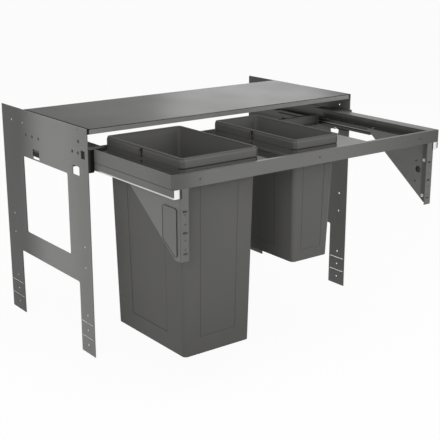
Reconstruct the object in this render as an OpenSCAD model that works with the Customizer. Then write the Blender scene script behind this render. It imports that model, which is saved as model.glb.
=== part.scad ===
// Pull out bin frame for a sink cabinet, drawn out as it is loaded.
// Side places are given from a side panel's outer face (u), its front edge (y) and the floor (z).

/* [Side panels] */
// Width over the outer faces of the two side panels
frame_w = 864; // [760:1:1200]
// Height of a side panel
panel_h = 585; // [560:1:680]
// Depth of a side panel
panel_d = 463; // [455:1:560]
// Sheet thickness of a side panel
panel_t = 2; // [1.5:0.1:3]
// Height of the plate above the window
top_band = 126; // [112:1:150]
// Height of the window
window_h = 211; // [150:1:240]
// Height of the tie between the legs
tie_h = 63; // [40:1:80]
// Width of the front post
front_post = 105; // [90:1:130]
// Width of the rear post
rear_post = 117; // [90:1:140]
// Width of the front leg
front_leg = 65; // [50:1:85]
// Width of the rear leg
rear_leg = 77; // [50:1:88]
// Corner radius of the window and the leg arch
panel_r = 5; // [2:0.5:10]

/* [Fixing holes] */
// Diameter of the holes for screws into the cabinet side
wall_hole_d = 5.2; // [4:0.1:6.5]
// Height of the lowest leg hole
leg_hole_z = 24; // [15:1:30]
// Pitch of the leg holes and of the snap-off lines
snap_pitch = 40; // [30:1:45]
// Width of a snap-off slit
slit_w = 1.8; // [1:0.1:3]
// Bridge of sheet left at each end of a snap-off slit
slit_bridge = 5; // [3:0.5:10]
// Height of the hole in the tie
tie_hole_z = 231; // [205:1:240]
// Height of the hole in the post
post_hole_z = 285; // [265:1:320]
// Distance of the upper wall holes below the top edge
upper_hole_drop = 36; // [28:1:40]

/* [Cover] */
// Depth of the cover plate
cover_d = 337; // [300:1:380]
// Sheet thickness of the cover plate
cover_t = 1.5; // [1:0.1:2]
// Height of the cover's turned-down edges
cover_edge = 13; // [12:0.5:16]
// Diameter of the cover screws
cover_screw_d = 4; // [3:0.1:5]

/* [Pull-out frame] */
// Reach of the front bar before the panels in the drawn position
bar_reach = 341; // [335:1:360]
// Distance of the frame's top below the top of the panels
frame_drop = 48; // [45:1:60]
// Sheet thickness of the pull-out frame
sheet_t = 1.5; // [1:0.1:2]
// Gap between a panel and the side rail
side_gap = 11; // [9.5:0.5:14]
// Depth of the rear bar's top below the top of the frame
rear_drop = 22; // [18:0.5:26]
// Height of the front bar
bar_h = 32; // [28:1:36]
// Depth of the bar's turned edges
bar_lip = 10; // [8:0.5:14]
// Diameter of the holes in the front bar
bar_hole_d = 5; // [4:0.1:6.5]
// Distance of the outer bar holes from the middle
bar_hole_x = 350; // [250:1:352]
// Height of the side rail's skirt
skirt_h = 48.5; // [45:0.5:50]
// Width of the side rail's top
rail_top_w = 34; // [28:1:38]
// Length of the side rails
rail_l = 430; // [425:1:440]

/* [Runners] */
// Outer width of the drawer runner
runner_w = 15.5; // [15:0.1:18]
// Height of the drawer runner
runner_h = 20.5; // [19.5:0.1:22]
// Sheet thickness of the drawer and middle runners
runner_t = 1.2; // [1:0.1:1.3]
// Height of the drawer runner's inner lip
runner_lip = 9; // [8:0.5:11]
// Length of the middle runner
middle_l = 400; // [380:1:410]
// Reach of the middle runner before the panels in the drawn position
middle_reach = 115; // [100:1:120]
// Diameter of the balls between the middle and drawer runners
outer_ball_d = 2.2; // [2:0.05:2.3]
// Diameter of the balls between the cabinet and middle runners
inner_ball_d = 1.8; // [1.6:0.05:1.9]
// Running clearance on each side of a ball
ball_gap = 0.05; // [0.03:0.01:0.1]
// Length of a ball cage
cage_l = 120; // [100:1:130]
// Number of balls in each row
ball_count = 6; // [4:1:10]
// Sheet thickness of the cabinet runner's bracket
bracket_t = 1.5; // [1.2:0.1:2]
// Diameter of the runner screws
runner_screw_d = 4; // [3:0.1:4.5]
// Reach of the black front cap before the panel
cap_reach = 9; // [6:0.5:12]
// Height of the black front cap
cap_h = 62; // [58:0.5:64]

/* [Carrier plate] */
// Distance of the plate's right edge from the left panel's outer face
plate_right = 646; // [600:1:680]
// Depth of the plate's wide part to the right of the bins
shelf_d = 277; // [220:1:320]
// Corner radius of the wide part
shelf_r = 22; // [8:1:30]
// Bearing of a bin's collar on the plate
bin_bearing = 5; // [4.6:0.2:7]
// Width of the strip between the two cut-outs
strip_w = 62; // [40:1:70]
// Depth of the plate's surface below the top of the frame
plate_drop = 14; // [12:0.5:18]

/* [Gussets] */
// Sheet thickness of a gusset
gusset_t = 2; // [1.5:0.1:2.5]
// Height of a gusset
gusset_h = 165; // [160:1:185]
// Length of a gusset's upper edge
gusset_l = 241; // [200:1:250]
// Length of a gusset's lower edge
gusset_foot = 22; // [18:1:30]
// Width of a gusset's front flange
flange_w = 22; // [20:0.5:26]
// Pitch of the slots for the front panel
slot_pitch = 48; // [40:1:50]
// Length of a slot
slot_l = 12; // [9:0.5:14]
// Width of a slot
slot_w = 5; // [4:0.1:6]
// Diameter of the access hole under the gusset's cover
access_d = 18; // [12:0.5:22]
// Diameter of the adjusting screws
adjuster_d = 9; // [7:0.5:10]

/* [Bins] */
// Width of the large bin's rim
large_w = 218; // [200:1:224]
// Height of the large bin
large_h = 472; // [400:1:500]
// Width of the small bin's rim
small_w = 144; // [120:1:150]
// Height of the small bin
small_h = 307; // [250:1:400]
// Depth of both bins' rims
bin_d = 317; // [300:1:318]
// Height of the bins' rims above the frame
rim_rise = 28.5; // [24:0.5:29.5]
// Distance between the two bins
bin_gap = 104; // [90:1:120]
// Wall thickness of a bin
bin_t = 2.4; // [2:0.1:3]
// Taper of a bin's side over its height
bin_taper = 9; // [6:0.5:14]
// Corner radius of a bin's rim
bin_r = 12; // [9:0.5:20]

/* [Hidden] */
$fn = 48;

// Finishes
anthracite = "#6b6b68";
satin_cover = "#8b8a87";
zinc = "#cfcfcb";
dark_zinc = "#4a4a48";
black_plastic = "#1d1d1c";
bin_grey = "#5a5956";
steel = "#b9b9b6";

// Play left between parts that are screwed or clipped together
fit = 0.1;
// Small overlap that lets a cut run past a face
eps = 0.5;

// The frame's own origin lies in the middle of the floor area
half_y = (panel_d + bar_reach) / 2;
panel_y = half_y - panel_d;

// Levels
window_top = panel_h - top_band;
tie_top = window_top - window_h;
leg_h = tie_top - tie_h;
frame_z = panel_h - frame_drop;
rail_z = frame_z;
plate_z = frame_z - plate_drop;
bar_z = frame_z - bar_h;
runner_z = bar_z - runner_h;
skirt_z = frame_z - skirt_h;
rim_z = frame_z + rim_rise;
collar_h = rim_rise + plate_drop;

// Side places of the rail and the runner members
skirt_u = panel_t + side_gap;
runner_u = skirt_u + sheet_t;
runner_in = runner_u + runner_w;
outer_gap = outer_ball_d + 2 * ball_gap;
inner_gap = inner_ball_d + 2 * ball_gap;
middle_u = runner_u + runner_t + outer_gap;
middle_w = runner_w - 2 * runner_t - 2 * outer_gap;
middle_top = bar_z - runner_t - outer_gap;
middle_z = runner_z + 1.5;
guide_u = middle_u + runner_t + inner_gap;
guide_w = middle_w - 2 * runner_t - 2 * inner_gap;
guide_top = middle_top - runner_t - inner_gap;
bracket_z = runner_z - 3 - bracket_t;
bracket_top = frame_z - 4;
screw_row_z = frame_z - 17;

// Depth places
cap_d = 40;
screw_step = 35;
rear_win_y = 254;
guide_y = cap_d;
guide_l = panel_d - guide_y - 4;
bar_y = -bar_reach;
rail_y = bar_y + bar_lip;
rail_end = rail_y + rail_l;
runner_y = bar_y + sheet_t;
runner_l = rail_end + bar_lip - runner_y;
middle_y = -middle_reach;
outer_cage_y = -cage_l / 2;
inner_cage_mid = middle_y + middle_l * 0.65;
inner_cage_y = inner_cage_mid - cage_l / 2;
screw_rows = [
    cap_d + 7, cap_d + screw_step,
    rear_win_y, rear_win_y + screw_step, rear_win_y + 2 * screw_step
];
bin_y = -5 - bin_d;

// Places of the bins and of the plate's cut-outs
large_x = 46;
cut_w = large_w - 2 * bin_bearing;
cut1_x = large_x + bin_bearing;
cut2_x = cut1_x + cut_w + strip_w;
small_x = large_x + large_w + bin_gap;
cut2_w = small_x + small_w - bin_bearing - cut2_x;
cut_y = bin_y + bin_bearing;
cut_d = bin_d - 2 * bin_bearing;
plate_edge = 22;
plate_end = bin_y + bin_d + plate_edge;
plate_narrow = cut2_x + cut2_w + plate_edge;

// Places on the gusset
gusset_u = runner_in;
gusset_z = bar_z - gusset_h;
slot_u = gusset_u + gusset_t + (flange_w - gusset_t) / 2;
slot_in = 18;
adjuster_in = 24;
access_in = 46;
rivet_in = 30;
slot_z = gusset_z + slot_in;
adjuster_y = bar_y + adjuster_in;
access_y = bar_y + access_in;
access_z = slot_z + 1.4 * slot_pitch;
gusset_slope = gusset_h / (gusset_l - gusset_foot);

// Left side and middle of the object, given from the left panel
module left() {
    translate([-frame_w / 2, panel_y, 0]) children();
}

// The same piece on the right-hand side
module right() {
    mirror([1, 0, 0]) left() children();
}

module both() {
    left() children();
    right() children();
}

// Outline in (y, z) made into a sheet that stands at u
module side_sheet(u, t) {
    translate([u, 0, 0]) rotate([90, 0, 90]) linear_extrude(t) children();
}

// Section in (u, z) drawn out along the depth
module drawn(y, l) {
    translate([0, y + l, 0]) rotate([90, 0, 0]) linear_extrude(l) children();
}

module rounded(w, h, r) {
    translate([r, 0]) square([w - 2 * r, h]);
    translate([0, r]) square([w, h - 2 * r]);
    for (x = [r, w - r], y = [r, h - r]) translate([x, y]) circle(r);
}

// Hole along the width at (y, z)
module cross_hole(y, z, d, u0, u1) {
    translate([u0, y, z]) rotate([0, 90, 0]) cylinder(d = d, h = u1 - u0);
}

// Side panel
module panel_outline() {
    difference() {
        square([panel_d, panel_h]);
        translate([front_post, tie_top])
            rounded(panel_d - front_post - rear_post, window_h, panel_r);
        translate([front_leg, -2 * panel_r])
            rounded(panel_d - front_leg - rear_leg, leg_h + 2 * panel_r, panel_r);
        for (i = [1, 2]) translate([slit_bridge, leg_hole_z + (i - 0.5) * snap_pitch - slit_w / 2])
            square([front_leg - 2 * slit_bridge, slit_w]);
        for (i = [1, 2])
            translate([panel_d - rear_leg + slit_bridge, leg_hole_z + (i - 0.5) * snap_pitch - slit_w / 2])
                square([rear_leg - 2 * slit_bridge, slit_w]);
        // snap-in window for the runner's front cap
        translate([clip_y, clip_z]) square([clip_w, clip_h]);
        // access window under the runner
        translate([access_win_y, access_win_z]) rounded(access_win_w, access_win_h, 4);
        // rear access window
        translate([rear_win_y, rear_win_z]) square([rear_win_d, rear_win_h]);
    }
}

clip_y = 14;
clip_w = 19;
clip_z = screw_row_z - 11;
clip_h = 20;
access_win_y = cap_d + 3;
access_win_w = 34;
access_win_h = 23;
access_win_z = bracket_z - 17;
rear_win_d = 36;
rear_win_h = 26;
rear_win_z = window_top + 3;
front_col = front_leg / 2 - 1.5;
rear_col = panel_d - rear_leg / 2 - 4;
upper_holes = [43, panel_d - 121, panel_d - 56];
cover_screw_ys = [44, cover_d - 18];
cover_screw_z = panel_h - cover_t - (cover_edge - cover_t) / 2;

module side_panel() {
    difference() {
        side_sheet(0, panel_t) panel_outline();
        for (y = [front_col, rear_col]) {
            for (i = [0:2]) cross_hole(y, leg_hole_z + i * snap_pitch, wall_hole_d, -eps, panel_t + eps);
            for (z = [tie_hole_z, post_hole_z]) cross_hole(y, z, wall_hole_d, -eps, panel_t + eps);
        }
        for (y = upper_holes) cross_hole(y, panel_h - upper_hole_drop, wall_hole_d, -eps, panel_t + eps);
        for (y = screw_rows) cross_hole(y, screw_row_z, runner_screw_d + 2 * fit, -eps, panel_t + eps);
        for (y = cover_screw_ys) {
            cross_hole(y, cover_screw_z, cover_screw_d + 2 * fit, -eps, panel_t + eps);
            translate([0, y, cover_screw_z]) rotate([0, 90, 0])
                cylinder(r1 = sunk_r + fit, r2 = sunk_r + fit - sunk_h, h = sunk_h);
        }
    }
}

// Countersunk cover screws, flush with the panel so that it can lie against the cabinet
sunk_h = panel_t * 0.7;
sunk_r = cover_screw_d / 2 + sunk_h;

module cover_screw(y) {
    translate([0, y, cover_screw_z]) rotate([0, 90, 0]) {
        cylinder(r1 = sunk_r, r2 = sunk_r - sunk_h, h = sunk_h);
        cylinder(d = cover_screw_d, h = panel_t + cover_t + 5);
    }
}

module cover_plate_body() {
    translate([panel_t, 0, panel_h - cover_t]) cube([frame_w - 2 * panel_t, cover_d, cover_t]);
}

// Turned-down edge along the cover's front or rear
module cover_long_edge(y) {
    x0 = panel_t + cover_t;
    translate([x0, y, panel_h - cover_edge]) cube([frame_w - 2 * x0, cover_t, cover_edge - cover_t]);
}

// Turned-down end of the cover, screwed to the panel
module cover_end() {
    difference() {
        translate([panel_t, 0, panel_h - cover_edge]) cube([cover_t, cover_d, cover_edge - cover_t]);
        for (y = cover_screw_ys)
            cross_hole(y, cover_screw_z, cover_screw_d + 2 * fit, 0, panel_t + cover_t + eps);
    }
}

// Runner member that is screwed to the panel: bracket, floor and upright guide
module cabinet_runner() {
    nose_r = (guide_top - bracket_z) * 0.5;
    difference() {
        drawn(guide_y, guide_l) {
            translate([panel_t, bracket_z]) square([bracket_t, bracket_top - bracket_z]);
            translate([panel_t, bracket_z]) square([guide_u + guide_w - panel_t, bracket_t]);
            translate([guide_u, bracket_z]) square([guide_w, guide_top - bracket_z]);
        }
        for (y = screw_rows)
            cross_hole(y, screw_row_z, runner_screw_d + 2 * fit, 0, panel_t + bracket_t + eps);
        translate([0, access_win_y - 2, bracket_z - eps])
            cube([skirt_u, access_win_w + 4, access_win_z + access_win_h - bracket_z + 2 + eps]);
        side_sheet(guide_u - eps, guide_w + 2 * eps) difference() {
            translate([guide_y - eps, bracket_z - eps]) square([nose_r + eps, nose_r + eps]);
            translate([guide_y + nose_r, bracket_z + nose_r]) circle(nose_r);
        }
    }
}

module runner_screw(y) {
    translate([0.4, y, screw_row_z]) rotate([0, 90, 0])
        cylinder(d = runner_screw_d, h = panel_t + bracket_t - 0.4 + eps);
    translate([panel_t + bracket_t, y, screw_row_z]) rotate([0, 90, 0])
        cylinder(r1 = runner_screw_d * 0.95, r2 = runner_screw_d * 0.6, h = runner_screw_d * 0.55);
}

// Black cap that closes the front end of the cabinet runner and snaps into the panel
module runner_cap() {
    cap_z = frame_z + 4 - cap_h;
    cap_w = side_gap - 0.6;
    nose_r = 7;
    side_sheet(panel_t, cap_w) {
        translate([-cap_reach, cap_z + nose_r]) square([cap_d + cap_reach, cap_h - nose_r]);
        translate([-cap_reach + nose_r, cap_z]) square([cap_d + cap_reach - nose_r, nose_r + eps]);
        translate([-cap_reach + nose_r, cap_z + nose_r]) circle(nose_r);
    }
    side_sheet(0.4, panel_t) translate([clip_y + 0.4, clip_z + 0.4])
        square([clip_w * 0.55, clip_h - 0.8]);
}

// Black clip in the rear window that supports the cabinet runner from below
module rear_clip() {
    play = 0.4;
    clip_foot = rear_win_z + rear_win_h * 0.27;
    side_sheet(play, panel_t + side_gap / 2) translate([rear_win_y + play, clip_foot])
        square([rear_win_d - 2 * play, bracket_z - clip_foot]);
}

// Middle member: an inverted channel with a rounded nose
module middle_runner() {
    h = middle_top - middle_z;
    nose_r = h * 0.6;
    difference() {
        drawn(middle_y, middle_l) difference() {
            translate([middle_u, middle_z]) square([middle_w, h]);
            translate([middle_u + runner_t, middle_z - eps])
                square([middle_w - 2 * runner_t, h - runner_t + eps]);
        }
        side_sheet(middle_u - eps, middle_w + 2 * eps) difference() {
            translate([middle_y - eps, middle_z - eps]) square([nose_r + eps, nose_r + eps]);
            translate([middle_y + nose_r, middle_z + nose_r]) circle(nose_r);
        }
    }
}

// Ball cage: an inverted channel of thin sheet with a round pocket for each ball
module cage(y, u0, u1, gap, top, leg, ball_d, ball_z) {
    t = gap * 0.36;
    o = (gap - t) / 2;
    difference() {
        drawn(y, cage_l) difference() {
            translate([u0 + o, top - gap + o - leg]) square([u1 - u0 - 2 * o, leg + t]);
            translate([u0 + o + t, top - gap + o - leg - eps])
                square([u1 - u0 - 2 * o - 2 * t, leg + eps]);
        }
        for (i = [0:ball_count - 1])
            cross_hole(ball_y(y, i), ball_z, ball_d + 0.2, u0 - eps, u1 + eps);
    }
}

function ball_y(y, i) = y + cage_l * (i + 0.5) / ball_count;
outer_ball_z = bar_z - runner_t - outer_gap - 2.2;
inner_ball_z = guide_top - 4;

module balls(y, u0, u1, gap, ball_d, ball_z) {
    for (i = [0:ball_count - 1], u = [u0 + gap / 2, u1 - gap / 2])
        translate([u, ball_y(y, i), ball_z]) sphere(d = ball_d, $fn = 24);
}

module outer_cage() {
    cage(outer_cage_y, runner_u + runner_t, runner_in - runner_t, outer_gap,
        bar_z - runner_t, 5.5, outer_ball_d, outer_ball_z);
}

module inner_cage() {
    cage(inner_cage_y, middle_u + runner_t, middle_u + middle_w - runner_t, inner_gap,
        middle_top - runner_t, 8, inner_ball_d, inner_ball_z);
}

// Drawer member: outer wall, top and short inner lip
end_t = 2.5;

module drawer_runner() {
    difference() {
        drawn(runner_y + end_t, runner_l - end_t) {
            translate([runner_u, runner_z]) square([runner_t, runner_h]);
            translate([runner_u, bar_z - runner_t]) square([runner_w, runner_t]);
            translate([runner_in - runner_t, bar_z - runner_lip]) square([runner_t, runner_lip]);
        }
        for (y = bolt_ys) translate([bolt_u, y, bar_z - runner_t - eps])
            cylinder(d = bolt_d + 2 * fit, h = runner_t + 2 * eps);
        for (y = gusset_rivet_ys)
            cross_hole(y, gusset_rivet_z, rivet_d + 2 * fit, runner_in - runner_t - eps, runner_in + eps);
    }
}

// Bright end piece that plugs the drawer runner in front
module runner_end() {
    plug_l = 8;
    play = 0.2;
    translate([runner_u, runner_y, runner_z]) cube([runner_w, end_t, runner_h]);
    translate([runner_u + runner_t + play, runner_y, runner_z + end_t])
        cube([runner_w - 2 * runner_t - 2 * play, end_t + plug_l, runner_h - runner_t - play - end_t]);
}

bolt_d = 4;
bolt_u = runner_u + runner_w / 2;
bolt_ys = [rail_y + rail_l * 0.1, rail_y + rail_l * 0.5, rail_y + rail_l * 0.93];

// Bolts that hold the drawer runner under the rail's shelf
module runner_bolt(y) {
    translate([bolt_u, y, bar_z - runner_t]) cylinder(d = bolt_d, h = runner_t + sheet_t);
    translate([bolt_u, y, bar_z + sheet_t])
        cylinder(d1 = bolt_d * 1.9, d2 = bolt_d * 1.2, h = bolt_d * 0.55);
}

// Side rail: skirt with a pressed line, top and the shelf over the runner
// The top is cut back beside the bins on the side where they hang
module rail(cut_back) {
    line = sheet_t / 3;
    kept = 2 * sheet_t;
    difference() {
        union() {
            drawn(rail_y, rail_l) difference() {
                union() {
                    translate([skirt_u, skirt_z]) square([sheet_t, rail_z - skirt_z]);
                    translate([skirt_u, rail_z - sheet_t]) square([rail_top_w, sheet_t]);
                    translate([skirt_u, bar_z]) square([sheet_t + runner_w, sheet_t]);
                }
                translate([skirt_u - eps, bar_z - line]) square([line + eps, 3 * line]);
            }
            drawn(bar_y, bar_lip + eps) translate([skirt_u, skirt_z])
                square([sheet_t, bar_z - skirt_z - line]);
        }
        for (y = bolt_ys) translate([bolt_u, y, bar_z - eps])
            cylinder(d = bolt_d + 2 * fit, h = sheet_t + 2 * eps);
        if (cut_back) translate([skirt_u + kept, rail_y - eps, rail_z - sheet_t - eps])
            cube([rail_top_w, bin_y + bin_d + bin_bearing - rail_y, sheet_t + 2 * eps]);
    }
}

// Channel section with closed ends, its open side to the rear when dir is 1
module channel(x0, l, y, dir, z0, z1) {
    y0 = dir > 0 ? y : y - bar_lip;
    web_y = dir > 0 ? y : y - sheet_t;
    translate([x0, web_y, z0]) cube([l, sheet_t, z1 - z0]);
    translate([x0, y0, z1 - sheet_t]) cube([l, bar_lip, sheet_t]);
    translate([x0, y0, z0]) cube([l, bar_lip, sheet_t]);
    for (x = [x0, x0 + l - sheet_t]) translate([x, y0, z0]) cube([sheet_t, bar_lip, z1 - z0]);
}

// Front bar: channel between the rails' outer faces with holes for the front panel
module front_bar_body() {
    difference() {
        channel(skirt_u, frame_w - 2 * skirt_u, bar_y, 1, bar_z, rail_z);
        for (x = [-bar_hole_x, 0, bar_hole_x])
            translate([frame_w / 2 + x, bar_y - eps, (bar_z + rail_z) / 2]) rotate([-90, 0, 0])
                cylinder(d = bar_hole_d, h = sheet_t + 2 * eps);
    }
}

// Rear bar: lower channel between the drawer runners
module rear_bar_body() {
    channel(runner_in, frame_w - 2 * runner_in, rail_end + bar_lip, -1, runner_z, frame_z - rear_drop);
}

// Carrier plate with a cut-out for each bin; its turned-down edges stand on the rail and the bar
module carrier_plate_body() {
    play = 0.3;
    x0 = runner_u + play;
    y0 = bar_y + sheet_t + play;
    under = plate_z - sheet_t;
    foot = bar_z + sheet_t;
    shelf_end = bar_y + shelf_d;
    translate([0, 0, under]) linear_extrude(sheet_t) difference() {
        union() {
            translate([x0, y0]) square([plate_narrow - x0, plate_end - y0]);
            translate([x0, y0]) square([plate_right - shelf_r - x0, shelf_end - y0]);
            translate([x0, y0]) square([plate_right - x0, shelf_end - shelf_r - y0]);
            translate([plate_right - shelf_r, shelf_end - shelf_r]) circle(shelf_r);
        }
        translate([cut1_x, cut_y]) rounded(cut_w, cut_d, bin_r);
        translate([cut2_x, cut_y]) rounded(cut2_w, cut_d, bin_r);
    }
    translate([x0, y0, foot]) cube([sheet_t, plate_end - y0, plate_z - foot]);
    translate([x0, y0, foot]) cube([plate_right - x0, sheet_t, plate_z - foot]);
    translate([x0, plate_end - sheet_t, foot]) cube([plate_narrow - x0, sheet_t, plate_z - foot]);
}

// Gusset: bent plate that holds the front panel
rivet_d = 4;
gusset_rivet_z = bar_z - runner_lip / 2;
gusset_rivet_ys = [bar_y + rivet_in, bar_y + gusset_l * 0.45, bar_y + gusset_l * 0.85];
adjuster_zs = [slot_z, slot_z + 2 * slot_pitch];
pin_d = adjuster_d * 0.55;

module gusset() {
    difference() {
        union() {
            side_sheet(gusset_u, gusset_t) polygon([
                [bar_y, gusset_z],
                [bar_y + gusset_foot, gusset_z],
                [bar_y + gusset_l, bar_z],
                [bar_y, bar_z]
            ]);
            translate([gusset_u, bar_y, gusset_z]) cube([flange_w, gusset_t, gusset_h]);
        }
        for (i = [0:2], x = [-1, 1])
            translate([slot_u + x * (slot_l - slot_w) / 2, bar_y - eps, slot_z + i * slot_pitch])
                rotate([-90, 0, 0]) cylinder(d = slot_w, h = gusset_t + 2 * eps);
        for (i = [0:2])
            translate([slot_u - (slot_l - slot_w) / 2, bar_y - eps, slot_z + i * slot_pitch - slot_w / 2])
                cube([slot_l - slot_w, gusset_t + 2 * eps, slot_w]);
        for (z = [0.2, 0.65, 1.4, 1.85]) translate([slot_u, bar_y - eps, slot_z + z * slot_pitch])
            rotate([-90, 0, 0]) cylinder(d = slot_w * 0.6, h = gusset_t + 2 * eps);
        for (z = adjuster_zs)
            cross_hole(adjuster_y, z, pin_d + 2 * fit, gusset_u - eps, gusset_u + gusset_t + eps);
        for (y = gusset_rivet_ys)
            cross_hole(y, gusset_rivet_z, rivet_d + 2 * fit, gusset_u - eps, gusset_u + gusset_t + eps);
        cross_hole(access_y, access_z, access_d, gusset_u - eps, gusset_u + gusset_t + eps);
        for (z = [-0.7, 0.45]) cross_hole(access_y + 8, access_z + z * slot_pitch, slot_w,
            gusset_u - eps, gusset_u + gusset_t + eps);
    }
}

// Rivets between the gusset and the drawer runner's lip, flush on the runner side
module gusset_rivet(y) {
    translate([gusset_u - runner_t, y, gusset_rivet_z]) rotate([0, 90, 0])
        cylinder(d = rivet_d, h = runner_t + gusset_t + eps);
    translate([gusset_u + gusset_t, y, gusset_rivet_z]) rotate([0, 90, 0])
        cylinder(r1 = rivet_d * 0.9, r2 = rivet_d * 0.6, h = rivet_d * 0.3);
}

// Plastic cover over the adjusters' access hole, hollow towards the gusset
gusset_cap_in = 13;
gusset_cap_l = 54;
gusset_cap_r = 5;
gusset_cap_foot = 8;

module gusset_cap_outline() {
    r = gusset_cap_r;
    y0 = bar_y + gusset_cap_in + r;
    y1 = y0 + gusset_cap_l - 2 * r;
    top = slot_z + 2.1 * slot_pitch - r;
    foot = gusset_z + gusset_cap_foot + r;
    hull() for (y = [y0, y1]) {
        rise = max(0, y - bar_y - gusset_foot) * gusset_slope;
        translate([y, top]) circle(r, $fn = 32);
        translate([y, foot + rise]) circle(r, $fn = 32);
    }
}

module gusset_cap() {
    h = 3;
    wall = 1;
    difference() {
        side_sheet(gusset_u - h, h) gusset_cap_outline();
        side_sheet(gusset_u - h + wall, h) offset(delta = -wall) gusset_cap_outline();
    }
}

// Cam screws that set the front panel's height and tilt
module front_adjuster(z) {
    head_h = adjuster_d * 0.45;
    slot = adjuster_d * 0.16;
    translate([gusset_u, adjuster_y, z]) rotate([0, 90, 0]) cylinder(d = pin_d, h = gusset_t + eps);
    difference() {
        translate([gusset_u + gusset_t, adjuster_y, z]) rotate([0, 90, 0])
            cylinder(d = adjuster_d, h = head_h);
        translate([gusset_u + gusset_t + head_h * 0.6, adjuster_y - adjuster_d / 2, z - slot / 2])
            cube([head_h, adjuster_d, slot]);
        translate([gusset_u + gusset_t + head_h * 0.6, adjuster_y - slot / 2, z - adjuster_d / 2])
            cube([head_h, slot, adjuster_d]);
    }
}

// Bins: tapered buckets that hang by a turned-down collar
bin_in = bin_bearing + 1;
body_r = bin_r - 2;

module slab(x, w, inset, z, r) {
    for (px = [x + inset + r, x + w - inset - r], py = [bin_y + inset + r, bin_y + bin_d - inset - r])
        translate([px, py, z]) cylinder(r = r, h = 0.01, $fn = 32);
}

module bucket(x, w, h, wall, r) {
    floor_z = rim_z - h + (wall > 0 ? 3 : 0);
    hull() {
        slab(x, w, bin_in + wall, rim_z - 0.01 + (wall > 0 ? eps : 0), r);
        slab(x, w, bin_in + wall + bin_taper, floor_z, r);
    }
}

// Shallow panel pressed into one wall of a bin, following the taper
module pressed_panel(x, w, h, along, side) {
    depth = 0.8;
    share = 0.5;
    l = (along ? w : bin_d) * share;
    mx = x + w / 2;
    my = bin_y + bin_d / 2;
    half = (along ? bin_d : w) / 2 - bin_in;
    z0 = rim_z - h * 0.91;
    z1 = plate_z - sheet_t - 4;
    hull() for (z = [z0, z1]) {
        reach = half - bin_taper * (rim_z - z) / h - depth;
        lz = l - 2 * bin_taper * share * (rim_z - z) / h;
        if (along) translate([mx - lz / 2, my + (side > 0 ? reach : -reach - 4), z]) cube([lz, 4, 0.01]);
        else translate([mx + (side > 0 ? reach : -reach - 4), my - lz / 2, z]) cube([4, lz, 0.01]);
    }
}

// Socket for a snap-in carrying handle in the middle of a collar's side
socket_depth = bin_in - bin_t / 2;
ring_depth = 0.8;

module handle_socket() {
    m = bin_y + bin_d / 2;
    top = rim_z - collar_h * 0.07;
    neck = rim_z - collar_h * 0.28;
    foot = rim_z - collar_h * 0.5;
    wide = collar_h * 0.19;
    slim = collar_h * 0.08;
    polygon([
        [m - wide, top], [m - slim, neck], [m - slim, foot],
        [m + slim, foot], [m + slim, neck], [m + wide, top]
    ]);
    translate([m, rim_z - collar_h * 0.78]) circle(slim, $fn = 24);
}

module socket_ring() {
    translate([bin_y + bin_d / 2, rim_z - collar_h * 0.33]) difference() {
        circle(collar_h * 0.24);
        circle(collar_h * 0.18);
    }
}

// Groove that runs round the collar above its lower edge
module collar_groove(x, w) {
    depth = bin_t / 2;
    groove_h = collar_h * 0.08;
    translate([x, bin_y, rim_z - collar_h * 0.58]) linear_extrude(groove_h) difference() {
        translate([-eps, -eps]) square([w + 2 * eps, bin_d + 2 * eps]);
        translate([depth, depth]) rounded(w - 2 * depth, bin_d - 2 * depth, bin_r - depth, $fn = 32);
    }
}

// Bin: the edge of the rim slopes, then the collar drops to the plate
module bin(x, w, h) {
    slope_h = collar_h * 0.15;
    skirt_h = collar_h - slope_h;
    difference() {
        union() {
            bucket(x, w, h, 0, body_r);
            hull() {
                slab(x, w, bin_t, rim_z - 0.01, body_r);
                slab(x, w, 0, rim_z - slope_h, bin_r);
            }
            translate([x, bin_y, plate_z]) linear_extrude(skirt_h + 0.01) difference() {
                rounded(w, bin_d, bin_r, $fn = 32);
                translate([bin_t, bin_t])
                    rounded(w - 2 * bin_t, bin_d - 2 * bin_t, bin_r - bin_t, $fn = 32);
            }
        }
        bucket(x, w, h, bin_t, body_r - bin_t);
        for (side = [-1, 1]) {
            pressed_panel(x, w, h, true, side);
            pressed_panel(x, w, h, false, side);
        }
        collar_groove(x, w);
        for (u = [x - eps, x + w + eps - socket_depth]) side_sheet(u, socket_depth) handle_socket();
        for (u = [x - eps, x + w - ring_depth]) side_sheet(u, ring_depth + eps) socket_ring();
    }
}

module left_side_panel() { color(anthracite) left() side_panel(); }
module right_side_panel() { color(anthracite) right() side_panel(); }
module cover_plate() { color(satin_cover) left() cover_plate_body(); }
module cover_front_edge() { color(satin_cover) left() cover_long_edge(0); }
module cover_rear_edge() { color(satin_cover) left() cover_long_edge(cover_d - cover_t); }
module left_cover_end() { color(satin_cover) left() cover_end(); }
module right_cover_end() { color(satin_cover) right() cover_end(); }
module cover_screws() { color(steel) both() for (y = cover_screw_ys) cover_screw(y); }
module left_cabinet_runner() { color(dark_zinc) left() cabinet_runner(); }
module right_cabinet_runner() { color(dark_zinc) right() cabinet_runner(); }
module runner_screws() { color(steel) both() for (i = [0, 2, 4]) runner_screw(screw_rows[i]); }
module left_runner_cap() { color(black_plastic) left() runner_cap(); }
module right_runner_cap() { color(black_plastic) right() runner_cap(); }
module left_rear_clip() { color(black_plastic) left() rear_clip(); }
module right_rear_clip() { color(black_plastic) right() rear_clip(); }
module left_middle_runner() { color(dark_zinc) left() middle_runner(); }
module right_middle_runner() { color(dark_zinc) right() middle_runner(); }
module left_inner_cage() { color(steel) left() inner_cage(); }
module right_inner_cage() { color(steel) right() inner_cage(); }
module inner_balls() {
    color(steel) both() balls(inner_cage_y, middle_u + runner_t, middle_u + middle_w - runner_t,
        inner_gap, inner_ball_d, inner_ball_z);
}
module left_outer_cage() { color(steel) left() outer_cage(); }
module right_outer_cage() { color(steel) right() outer_cage(); }
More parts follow.
